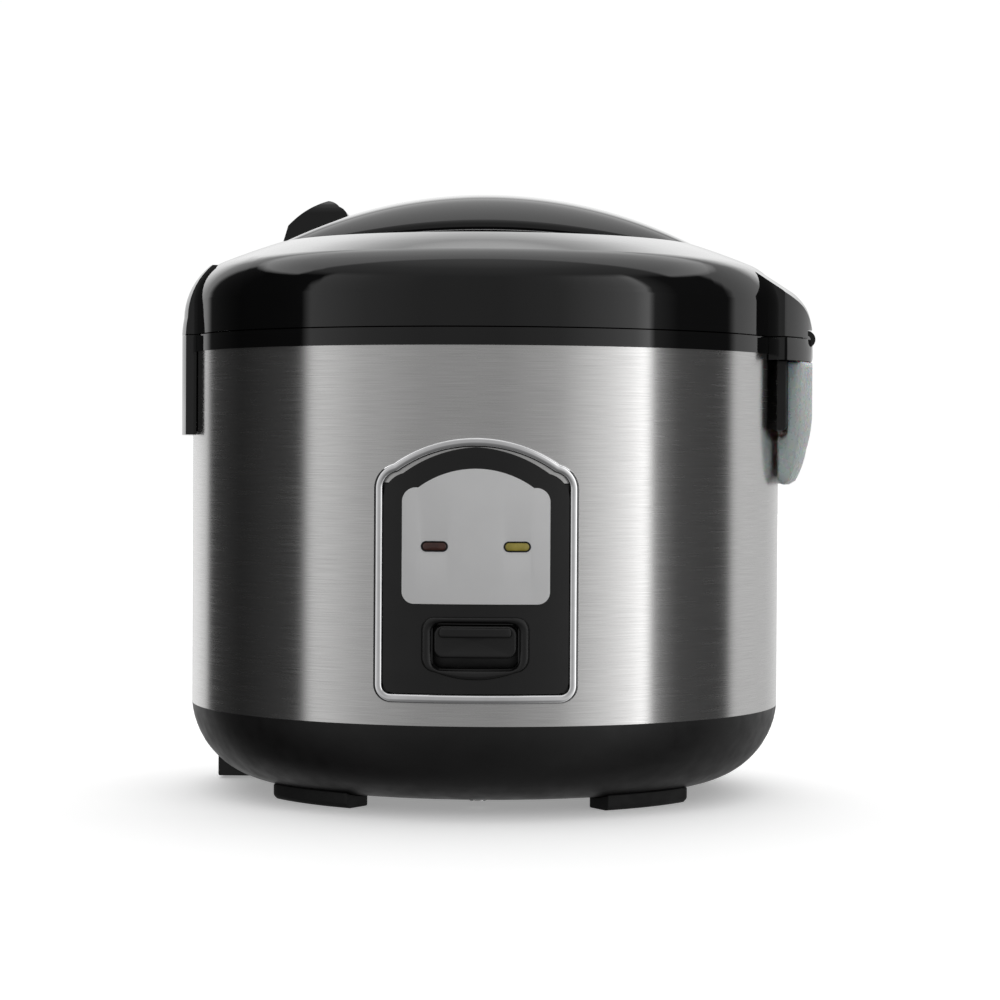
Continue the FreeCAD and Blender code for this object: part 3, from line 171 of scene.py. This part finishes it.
def translucent_plastic(name, dark, light):
    """Natural polypropylene: milky, with light coming through."""
    shader = Shader(name)
    shader.vary_colour(shader.noise(70), dark, light)
    shader.vary_roughness(shader.noise(300, 4), 0.22, 0.34)
    shader.bump(shader.noise(1600, 2), 0.00001, 0.5)
    shader.set(Transmission_Weight=0.25, IOR=1.49, Subsurface_Weight=0.6, Subsurface_Scale=0.004)
    return shader.material


def lens_plastic(name, dark, light):
    """Tinted lamp cover, glossy over a faintly rough body."""
    shader = Shader(name)
    shader.vary_colour(shader.noise(400, 2), dark, light)
    shader.vary_roughness(shader.noise(900), 0.06, 0.14)
    shader.bump(shader.noise(1300, 1), 0.00002, 0.6)
    shader.set(Coat_Weight=0.6, Coat_Roughness=0.05)
    return shader.material


materials = {
    "black_gloss": gloss_plastic("black_gloss", (0.0022, 0.0022, 0.0024), (0.0034, 0.0034, 0.0037)),
    "black_matte": satin_plastic("black_matte", (0.0085, 0.0083, 0.0084), (0.0115, 0.011, 0.0112)),
    "black_panel": satin_plastic("black_panel", (0.006, 0.0058, 0.0061), (0.0085, 0.0082, 0.0085),
                                 (0.3, 0.42), 1800, 0.000012),
    "brushed_steel": brushed("brushed_steel", (0.6, 0.595, 0.59), (0.72, 0.715, 0.71)),
    "steel": plain_metal("steel", (0.46, 0.46, 0.46), (0.58, 0.58, 0.58)),
    "chrome": plain_metal("chrome", (0.84, 0.84, 0.85), (0.9, 0.9, 0.91), (0.04, 0.09)),
    "label_silver": satin_plastic("label_silver", (0.9, 0.9, 0.903), (0.94, 0.94, 0.943),
                                  (0.42, 0.55), 5000, 0.000004),
    "red_lens": lens_plastic("red_lens", (0.055, 0.011, 0.005), (0.085, 0.018, 0.009)),
    "amber_lens": lens_plastic("amber_lens", (0.4, 0.33, 0.045), (0.52, 0.43, 0.075)),
    "aluminium": brushed("aluminium", (0.7, 0.7, 0.7), (0.8, 0.8, 0.8), (0.28, 0.36), 0.4, 3000.0),
    "clear_plastic": translucent_plastic("clear_plastic", (0.93, 0.935, 0.935),
                                         (0.96, 0.965, 0.965)),
    "rubber": satin_plastic("rubber", (0.006, 0.006, 0.006), (0.011, 0.011, 0.011), (0.6, 0.75)),
    "liner_plastic": satin_plastic("liner_plastic", (0.4, 0.4, 0.39), (0.46, 0.46, 0.45),
                                   (0.3, 0.4)),
    "board": satin_plastic("board", (0.02, 0.1, 0.04), (0.04, 0.16, 0.07), (0.3, 0.45), 900),
    "band_cover": plain_metal("band_cover", (0.5, 0.48, 0.4), (0.62, 0.6, 0.52), (0.3, 0.45)),
}

for part in frame["record"]["subparts"]:
    mesh = nodes[part["node"]].data
    mesh.materials.clear()
    mesh.materials.append(materials[part["material_slot"]])


# ---------------------------------------------------------------- shapes, in millimetres
WALL_RADIUS = 120.0


def arc(start, end, radius, spacing=0.6):
    """Points after start up to end. A positive radius bulges to the right of the way."""
    (x0, z0), (x1, z1) = start, end
    length = math.hypot(x1 - x0, z1 - z0)
    side = 1 if radius > 0 else -1
    bulk = abs(radius)
    off = math.sqrt(max(bulk * bulk - length * length / 4, 0.0)) * side
    cx = (x0 + x1) / 2 - (z1 - z0) / length * off
    cz = (z0 + z1) / 2 + (x1 - x0) / length * off
    first = math.atan2(z0 - cz, x0 - cx)
    sweep = 2 * math.asin(min(length / 2 / bulk, 1.0)) * side
    count = max(3, int(bulk * abs(sweep) / spacing))
    return [(cx + bulk * math.cos(first + sweep * k / count),
             cz + bulk * math.sin(first + sweep * k / count)) for k in range(1, count + 1)]


def outline(corners, spacing=0.6):
    """A closed run of points, anticlockwise; a corner's third number is its arc's radius."""
    points = []
    for index, corner in enumerate(corners):
        before = corners[index - 1][:2]
        if len(corner) > 2:
            points += arc(before, corner[:2], corner[2], spacing)
        else:
            length = math.hypot(corner[0] - before[0], corner[1] - before[1])
            count = max(1, int(length / spacing / 2))
            points += [(before[0] + (corner[0] - before[0]) * k / count,
                        before[1] + (corner[1] - before[1]) * k / count)
                       for k in range(1, count + 1)]
    return points


def inward(points, distance):
    """The closed run moved this far towards its inside."""
    moved = []
    for index, (x, z) in enumerate(points):
        (xa, za), (xb, zb) = points[index - 2], points[(index + 2) % len(points)]
        length = math.hypot(xb - xa, zb - za)
        moved.append((x - (zb - za) / length * distance, z + (xb - xa) / length * distance))
    return moved


def rounded(half, low, high, radius):
    """Corners of an upright rectangle with round corners, for outline()."""
    return [(-half + radius, low), (half - radius, low), (half, low + radius, radius),
            (half, high - radius), (half - radius, high, radius), (-half + radius, high),
            (-half, high - radius, radius), (-half, low + radius),
            (-half + radius, low, radius)]


def middle_of(points):
    return sum(p[0] for p in points) / len(points), sum(p[1] for p in points) / len(points)


def on_wall(x, z, proud):
    """A point of the front, this far outside the sleeve."""
    return x, -math.sqrt((WALL_RADIUS + proud) ** 2 - x * x), z


def bridge(shape, loops):
    """Faces between closed rows of points; gives the rows' vertices."""
    rows = [[shape.verts.new([value * MM for value in point]) for point in loop] for loop in loops]
    for low, high in zip(rows, rows[1:]):
        for k in range(len(low)):
            n = (k + 1) % len(low)
            shape.faces.new((low[k], low[n], high[n], high[k]))
    return rows


def capped(shape, loops):
    """A body of loops with a face over each end."""
    rows = bridge(shape, loops)
    shape.faces.new(rows[0])
    shape.faces.new(rows[-1])


def raised(shape, points, steps, filled=None):
    """Loops on the front wall; steps are (inset, proud), and filled closes it at that height."""
    loops = [[on_wall(x, z, proud) for x, z in inward(points, inset)] for inset, proud in steps]
    if filled is not None:
        last = inward(points, steps[-1][0])
        mx, mz = middle_of(last)
        start = steps[-1][1]
        for k in (0.85, 0.68, 0.5, 0.32, 0.16, 0.03):
            level = start + (filled - start) * (1 - k * k)
            loops.append([on_wall(mx + (x - mx) * k, mz + (z - mz) * k, level) for x, z in last])
    rows = bridge(shape, loops)
    if filled is not None:
        shape.faces.new(rows[-1])


def piece(name, shape, body, slot, *replaced, sharp=40):
    """Turns a bmesh into an object that rides on a body."""
    bmesh.ops.recalc_face_normals(shape, faces=shape.faces)
    mesh = bpy.data.meshes.new(name)
    shape.to_mesh(mesh)
    shape.free()
    mesh.shade_smooth()
    mesh.set_sharp_from_angle(angle=math.radians(sharp))
    item = bpy.data.objects.new(name, mesh)
    bpy.context.scene.collection.objects.link(item)
    mesh.materials.append(materials[slot])
    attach(item, body)
    if replaced:
        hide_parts(*replaced)
    return item


def block(shape, low, high, radius):
    """A box with rounded edges."""
    made = bmesh.ops.create_cube(shape, size=1.0)["verts"]
    for vert in made:
        vert.co = Vector([(a + (b - a) * (t + 0.5)) * MM for a, b, t in zip(low, high, vert.co)])
    edges = {edge for vert in made for edge in vert.link_edges}
    bmesh.ops.bevel(shape, geom=list(edges), offset=radius * MM, segments=3, profile=0.5,
                    affect="EDGES")


# ---------------------------------------------------------------- front panel
def shouldered(half, low, top, kink_in, kink_level, shoulder, crown, corner):
    """Panel outline: round lower corners, round shoulders, a kink and an arched top."""
    side_top = kink_level - math.sqrt(shoulder ** 2 - (shoulder - kink_in) ** 2)
    kink = half - kink_in
    return [(-half + corner, low), (half - corner, low), (half, low + corner, corner),
            (half, side_top), (kink, kink_level, shoulder), (0, top, crown),
            (-kink, kink_level, crown), (-half, side_top, shoulder), (-half, low + corner),
            (-half + corner, low, corner)]


FRAME = outline(shouldered(38.4, 43.9, 143.0, 7.4, 133.2, 9.7, 54.0, 6.7))
shape = bmesh.new()
raised(shape, FRAME, [(0.0, 0.05), (0.0, 0.7), (0.12, 1.3), (0.4, 1.75), (0.85, 2.05),
                      (1.4, 2.17), (2.0, 2.16), (2.55, 2.0), (3.0, 1.7), (3.35, 1.3),
                      (3.55, 0.8), (3.6, 0.1)])
piece("panel_ring", shape, "root", "chrome", "panel_frame", sharp=60)

BEZEL = outline([(-15.0, 55.6), (15.0, 55.6, 42), (20.2, 60.8, 5.4), (20.2, 71.4),
                 (15.4, 76.2, 4.8), (-15.4, 76.2), (-20.2, 71.4, 4.8), (-20.2, 60.8),
                 (-15.0, 55.6, 5.4)], 0.5)
WINDOW = outline(rounded(15.9, 56.9, 73.5, 3), 0.5)


def resample(points, count, start_angle):
    """The outline as seen from its middle at even angles, so that two outlines pair up."""
    mx, mz = middle_of(points)
    found = []
    for k in range(count):
        angle = start_angle + 2 * math.pi * k / count
        dx, dz = math.cos(angle), math.sin(angle)
        best = None
        for (xa, za), (xb, zb) in zip(points, points[1:] + points[:1]):
            ex, ez = xb - xa, zb - za
            cross = dx * ez - dz * ex
            if abs(cross) < 1e-9:
                continue
            far = ((xa - mx) * ez - (za - mz) * ex) / cross
            along = ((xa - mx) * dz - (za - mz) * dx) / cross
            if far > 0 and -1e-6 <= along <= 1 + 1e-6 and (best is None or far > best):
                best = far
        found.append((mx + dx * best, mz + dz * best))
    return found


# From the bezel's outline (share 0) in to its window (share 1), then down the window's wall.
outer_line, inner_line = resample(BEZEL, 200, 0.01), resample(WINDOW, 200, 0.01)
shape = bmesh.new()
loops = []
for share, proud in ((0.0, 1.2), (0.02, 1.55), (0.09, 2.0), (0.2, 2.3), (0.34, 2.4), (0.48, 2.34),
                     (0.62, 2.12), (0.76, 1.75), (0.88, 1.25), (0.97, 0.6), (1.0, -0.4),
                     (1.0, -4.2)):
    loops.append([on_wall(xa + (xb - xa) * share, za + (zb - za) * share, proud)
                  for (xa, za), (xb, zb) in zip(outer_line, inner_line)])
bridge(shape, loops)
piece("lever_surround", shape, "root", "black_panel", "lever_bezel", sharp=60)

shape = bmesh.new()
lever = outline(rounded(15.4, 61.0, 73.0, 3.5), 0.5)
raised(shape, lever, [(0.0, -6.0), (0.0, 1.6), (0.1, 2.1), (0.35, 2.5), (0.8, 2.65), (1.4, 2.5)],
       filled=1.3)
ridge = outline(rounded(13.5, 68.7, 72.2, 1.3), 0.4)
raised(shape, ridge, [(-0.2, 1.0), (-0.1, 2.8), (0.0, 3.2), (0.22, 3.5), (0.6, 3.6)], filled=3.6)
# Behind the button: its flange, then the arm that goes in and down to the switch.
STEM = 3.5
STEM_TOP = 65.0
block(shape, (-17.3, -113.0, 52.6), (17.3, -111.6, 77.8), 0.4)
low, high = (list(corner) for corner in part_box("cook_lever"))
block(shape, (-STEM, -112.0, 61.2), (STEM, high[1] / MM, STEM_TOP), 0.4)
block(shape, (-STEM, high[1] / MM - 3.0, low[2] / MM), (STEM, high[1] / MM, STEM_TOP), 0.4)
piece("cook_lever_button", shape, "cook_lever", "black_panel", "cook_lever", sharp=50)

LAMP_OFFSET, LAMP_FLAT = 15.4, 3.1
shape = bmesh.new()
for side, slot, node in ((-1, "red_lens", "cook_lamp_lens"), (1, "amber_lens", "warm_lamp_lens")):
    mid, flat = LAMP_OFFSET * side, LAMP_FLAT
    window = outline([(mid - flat, 100.5), (mid + flat, 100.5), (mid + flat, 104.3, 1.901),
                      (mid - flat, 104.3), (mid - flat, 100.5, 1.901)], 0.25)
    raised(shape, window, [(-0.12, 1.5), (-0.1, 1.78), (0.02, 1.92), (0.2, 1.95), (0.38, 1.88),
                           (0.45, 1.6)])
    lens = bmesh.new()
    raised(lens, window, [(0.42, -1.0), (0.42, 1.6), (0.55, 1.78), (0.8, 1.9)], filled=2.06)
    piece(node.replace("lens", "window"), lens, "root", slot, node)
piece("lamp_rims", shape, "root", "black_gloss")


# ---------------------------------------------------------------- lid handle
HANDLE_AXIS = 203.6          # height of the axis that its round sections turn about
HANDLE_ARCH = 186.9          # radius of its arch from tip to tip
HANDLE_HALF_LENGTH, HANDLE_HALF_WIDTH = 87.0, 30.0
HANDLE_CROWN, HANDLE_HOLLOW = 40.0, 35.0
HOLLOW_REACH = 62            # beyond this the hollow closes towards the tips
RIM_TIP, RIM_LIFT, RIM_CURVE = 221.86, 5.44, 782.0


def handle_section(x):
    """Half section of the handle at x, from the crown out, round the rim and in to the hollow."""
    axis, arch = HANDLE_AXIS, HANDLE_ARCH
    sag = arch - math.sqrt(arch * arch - x * x)
    top = HANDLE_CROWN - sag
    wide_here = HANDLE_HALF_WIDTH * math.sqrt(1 - (x / HANDLE_HALF_LENGTH) ** 2)
    rim = RIM_TIP + max(0.0, RIM_LIFT - x * x / RIM_CURVE)
    if abs(x) < HOLLOW_REACH:
        inside = HANDLE_HOLLOW - sag
    else:
        inside = max(18.26, 24.3 - (abs(x) - HOLLOW_REACH) * 2.4)
    edge = min(1.0, wide_here * 0.14)

    def crown(y):
        return axis + math.sqrt(max(top * top - y * y, 0.0))

    half = [((wide_here - edge) * k / 12, crown((wide_here - edge) * k / 12)) for k in range(13)]
    brow = max(crown(wide_here) - 0.1, rim + 0.25)
    span = brow - rim
    half += [(wide_here - edge * 0.45, crown(wide_here - edge * 0.45) - 0.06),
             (wide_here - edge * 0.13, brow - min(0.25, span * 0.2)),
             (wide_here, brow - min(0.7, span * 0.4)),
             (wide_here, rim + min(0.5, span * 0.4)),
             (wide_here - 0.15, rim + min(0.15, span * 0.2)), (wide_here - 0.5, rim)]
    reach = math.sqrt(max(inside ** 2 - (rim - axis) ** 2, 0.0))
    reach = min(reach, wide_here - 2.4)
    reach = max(reach, wide_here * 0.35)
    half.append((reach + 0.3, rim))
    for k in range(9):
        y = reach * (1 - k / 8)
        half.append((y, max(rim, axis + math.sqrt(max(inside ** 2 - y * y, 0.0)))))
    return half


shape = bmesh.new()
loops = []
for k in range(97):
    x = 85.5 * math.sin(math.pi / 2 * (k / 48 - 1))
    half = handle_section(x)
    loops.append([(x, y, z) for y, z in half] + [(x, -y, z) for y, z in half[-2:0:-1]])
capped(shape, loops)
piece("lid_grip", shape, "lid", "black_gloss", "lid_handle", sharp=50)


# ---------------------------------------------------------------- collector and seam lips
def sector(shape, profile, middle, half_angle, steps=48):
    """An outline of (radius, height) turned through an angle about the body's axis."""
    loops = []
    for k in range(steps + 1):
        angle = math.radians(middle - half_angle + 2 * half_angle * k / steps)
        loops.append([(r * math.cos(angle), r * math.sin(angle), z) for r, z in profile])
    capped(shape, loops)


def collector_reach(angle):
    """Outer face of the hinge side at an angle: a rounder arc than the body's own."""
    return 64.0 * math.cos(angle) + math.sqrt(70.0 ** 2 - (64.0 * math.sin(angle)) ** 2)


CUP_TOP, CUP_INSIDE, CUP_REACH = 174.7, 121.3, 133.95
CUP_WALL = 1.3
CUP_HALF_ANGLE = 14.0
CUP = outline([(126.2, CUP_TOP), (126.2, 146.3), (125.2, 145.0, -1.8), (122.5, 143.4),
               (CUP_INSIDE, 141.8, 1.9), (CUP_INSIDE, 128.6), (124.6, 125.3, 3.3),
               (127.2, 126.8), (131.6, 139.5, 38), (133.9, 153.0, 60), (133.9, CUP_TOP)], 1.2)
shape = bmesh.new()
loops = []
for k in range(65):
    part = k / 32 - 1
    angle = math.radians(CUP_HALF_ANGLE) * part
    lean = CUP_REACH - collector_reach(angle)
    edge = max(0.0, abs(part) - 0.93) / 0.07
    shrink = CUP_WALL * (1 - math.sqrt(max(0.0, 1 - edge * edge)))
    loop = []
    for r, z in inward(CUP, shrink):
        reach = r - lean * min(1.0, max(0.0, (r - CUP_INSIDE) / 12.6))
        loop.append((reach * math.cos(angle), reach * math.sin(angle), min(z, CUP_TOP)))
    loops.append(loop)
capped(shape, loops)
# The cup is open at its top.
top_faces = [face for face in shape.faces
             if all(abs(vert.co.z - CUP_TOP * MM) < 1e-6 for vert in face.verts)]
bmesh.ops.delete(shape, geom=top_faces, context="FACES_ONLY")
cup = piece("collector_cup", shape, "collector", "clear_plastic", "condensate_collector", sharp=50)
wall = cup.modifiers.new("wall", "SOLIDIFY")
wall.thickness = CUP_WALL * MM
wall.offset = -1.0

# Lips behind the seam at the latch and at the hinge, so that no light shows through it.
LIP_BACK, LIP_LOW, LIP_HIGH = 119.0, 183.3, 184.3
shape = bmesh.new()
for middle, reach, half_angle in ((180, 123.4, 15.6), (0, 126.0, 18.2)):
    sector(shape, [(LIP_BACK, LIP_LOW), (reach - 0.2, LIP_LOW), (reach, 183.5), (reach, 184.15),
                   (reach - 0.2, LIP_HIGH), (LIP_BACK, LIP_HIGH)], middle, half_angle)
piece("seam_lips", shape, "root", "black_matte")


# ---------------------------------------------------------------- rounded edges on CAD parts
EDGE_ANGLE, EDGE_SEGMENTS = 32, 3


def soften(node, width):
    """Small radii on a CAD part's edges, as modifiers, so its mesh stays as it is."""
    item = nodes[node]
    weld = item.modifiers.new("weld", "WELD")
    weld.merge_threshold = 0.00001
    bevel = item.modifiers.new("edges", "BEVEL")
    bevel.width = width * MM
    bevel.segments = EDGE_SEGMENTS
    bevel.limit_method = "ANGLE"
    bevel.angle_limit = math.radians(EDGE_ANGLE)
    bevel.use_clamp_overlap = True
    bevel.harden_normals = False


for node, width in (("steam_vent_cap", 1.3), ("hinge_housing", 0.3), ("latch_cover", 0.4),
                    ("latch_lever", 0.5), ("collector_bracket", 0.4), ("power_inlet", 0.6),
                    ("foot_front_left", 0.9), ("foot_front_right", 0.9),
                    ("foot_rear_left", 0.9), ("foot_rear_right", 0.9), ("label_plate", 0.12)):
    soften(node, width)


# ---------------------------------------------------------------- camera, floor and light
FOCAL = 104.1
CAMERA_SIDE, CAMERA_REACH, CAMERA_HEIGHT = 0.0014, 1.193, 0.1353
SWING, PAN, TILT, ROLL = 1.6, -0.22, 0.83, 0.33      # degrees

camera_data = bpy.data.cameras.new("camera")
camera_data.lens = FOCAL
camera_data.sensor_width = 36.0
camera_data.clip_end = 50.0
camera = bpy.data.objects.new("camera", camera_data)
bpy.context.scene.collection.objects.link(camera)
swing = Matrix.Rotation(math.radians(SWING), 4, "Z")
aim = (Matrix.Rotation(math.radians(PAN), 4, "Z")
       @ Matrix.Rotation(math.radians(90 - TILT), 4, "X")
       @ Matrix.Rotation(math.radians(ROLL), 4, "Z"))
place = Matrix.Translation((CAMERA_SIDE, -CAMERA_REACH, CAMERA_HEIGHT))
camera.matrix_world = swing @ place @ aim
bpy.context.scene.camera = camera
bpy.context.scene.view_settings.view_transform = "Standard"

world = bpy.data.worlds.new("studio")
world.use_nodes = True
bpy.context.scene.world = world
tree = world.node_tree
background = tree.nodes["Background"]


def link(source, target):
    tree.links.new(source, target)


def maths(operation, first, second=0.0):
    node = tree.nodes.new("ShaderNodeMath")
    node.operation = operation
    for index, value in enumerate((first, second)):
        if isinstance(value, float):
            node.inputs[index].default_value = value
        else:
            link(value, node.inputs[index])
    return node.outputs[0]


def ramp(value, stops):
    """Light along a scale from 0 to 1, straight between the stops."""
    node = tree.nodes.new("ShaderNodeValToRGB")
    band = node.color_ramp
    while len(band.elements) < len(stops):
        band.elements.new(0.5)
    for element, (position, level) in zip(band.elements, stops):
        element.position = position
        element.color = (level, level, level, 1)
    link(value, node.inputs[0])
    return node.outputs[0]


# Azimuth is 0 straight ahead of the panel and grows to the right; the walls of the studio are
# bright panels with a dark flag on each side.
WALL = [(-180, 0.8), (-150, 0.9), (-138, 0.7), (-133, 0.05), (-108, 0.02), (-73, 0.05),
        (-69, 0.86), (-45, 0.52), (-22, 0.385), (8, 0.37), (30, 0.5), (50, 0.98), (60, 1.35),
        (66, 2.2), (68.5, 0.32), (80, 0.08), (109, 0.05), (114, 0.7), (145, 0.6), (180, 0.8)]
direction = tree.nodes.new("ShaderNodeTexCoord").outputs["Generated"]
split = tree.nodes.new("ShaderNodeSeparateXYZ")
link(direction, split.inputs[0])
forward = maths("MULTIPLY", split.outputs["Y"], -1.0)
azimuth = maths("ARCTAN2", split.outputs["X"], forward)
turn = maths("ADD", maths("DIVIDE", azimuth, 2 * math.pi), 0.5)
walls = ramp(turn, [((degrees + 180) / 360, level) for degrees, level in WALL])
height = maths("ADD", maths("MULTIPLY", split.outputs["Z"], 0.5), 0.5)
depth = maths("ADD", maths("MULTIPLY", split.outputs["Y"], 0.5), 0.5)


def mix(factor, first, second, kind="MIX"):
    node = tree.nodes.new("ShaderNodeMix")
    node.data_type = "RGBA"
    node.blend_type = kind
    if isinstance(factor, float):
        node.inputs["Factor"].default_value = factor
    else:
        link(factor, node.inputs["Factor"])
    link(first, node.inputs["A"])
    link(second, node.inputs["B"])
    return node.outputs["Result"]


# Height is 0 straight down, 0.5 level and 1 straight up; depth is 0 in front and 1 behind. A
# softbox fills the rear half of the ceiling and comes down behind the cooker; the front half of
# the ceiling is dimmer. Below the horizon the walls fade into a dark table.
rear_high = ramp(height, [(0.5, 0.45), (0.55, 0.75), (0.62, 1.4), (0.70, 1.95), (0.76, 2.1),
                          (0.82, 1.65), (0.88, 1.4), (1.0, 1.6)])
rear_side = ramp(depth, [(0.0, 0.0), (0.485, 0.0), (0.515, 1.0), (1.0, 1.0)])
wall_tops = ramp(height, [(0.0, 0.0), (0.80, 0.0), (0.85, 1.0), (1.0, 1.0)])
front_ceiling = ramp(height, [(0.5, 0.42), (0.85, 0.45), (0.93, 0.55), (1.0, 0.9)])
front_high = mix(wall_tops, walls, front_ceiling)
high = mix(rear_side, front_high, rear_high)
above_flags = ramp(height, [(0.0, 0.0), (0.79, 0.0), (0.815, 1.0), (1.0, 1.0)])
straight_behind = ramp(depth, [(0.0, 0.0), (0.88, 0.0), (0.94, 1.0), (1.0, 1.0)])
above_table = ramp(height, [(0.0, 0.0), (0.5, 0.0), (0.54, 1.0), (1.0, 1.0)])
open_rear = maths("MULTIPLY", straight_behind, above_table)
mixed = mix(maths("MAXIMUM", above_flags, open_rear), walls, high)
table = ramp(height, [(0.0, 0.3), (0.3, 0.5), (0.45, 1.0), (1.0, 1.0)])
link(mix(1.0, mixed, table, "MULTIPLY"), background.inputs["Color"])
background.inputs["Strength"].default_value = 1.0


def stage_piece(name, mesh, colour=None, glow=None):
    """A floor or backdrop that only the camera sees, so that it casts no light on the cooker."""
    item = bpy.data.objects.new(name, mesh)
    bpy.context.scene.collection.objects.link(item)
    shader = Shader(name)
    if glow:
        shader.set(Base_Color=(0, 0, 0, 1), Emission_Color=(1, 1, 1, 1), Emission_Strength=glow)
    else:
        shader.set(Base_Color=(*colour, 1), Emission_Color=(1, 1, 1, 1), Emission_Strength=0.3)
        shader.vary_roughness(shader.noise(8), 0.85, 0.95)
    mesh.materials.append(shader.material)
    for kind in ("diffuse", "glossy", "transmission", "volume_scatter"):
        setattr(item, f"visible_{kind}", False)
    return item


def stage_mesh(name, create, **sizes):
    shape = bmesh.new()
    create(shape, **sizes)
    mesh = bpy.data.meshes.new(name)
    shape.to_mesh(mesh)
    shape.free()
    return mesh


FLOOR_RADIUS, BACKDROP_RADIUS = 6.0, 8.0
disc = stage_mesh("floor", bmesh.ops.create_circle, cap_ends=True, segments=128,
                  radius=FLOOR_RADIUS)
stage_piece("floor", disc, (0.95, 0.95, 0.95))
dome = stage_mesh("backdrop", bmesh.ops.create_uvsphere, u_segments=48, v_segments=24,
                  radius=BACKDROP_RADIUS)
stage_piece("backdrop", dome, glow=1.0).visible_shadow = False
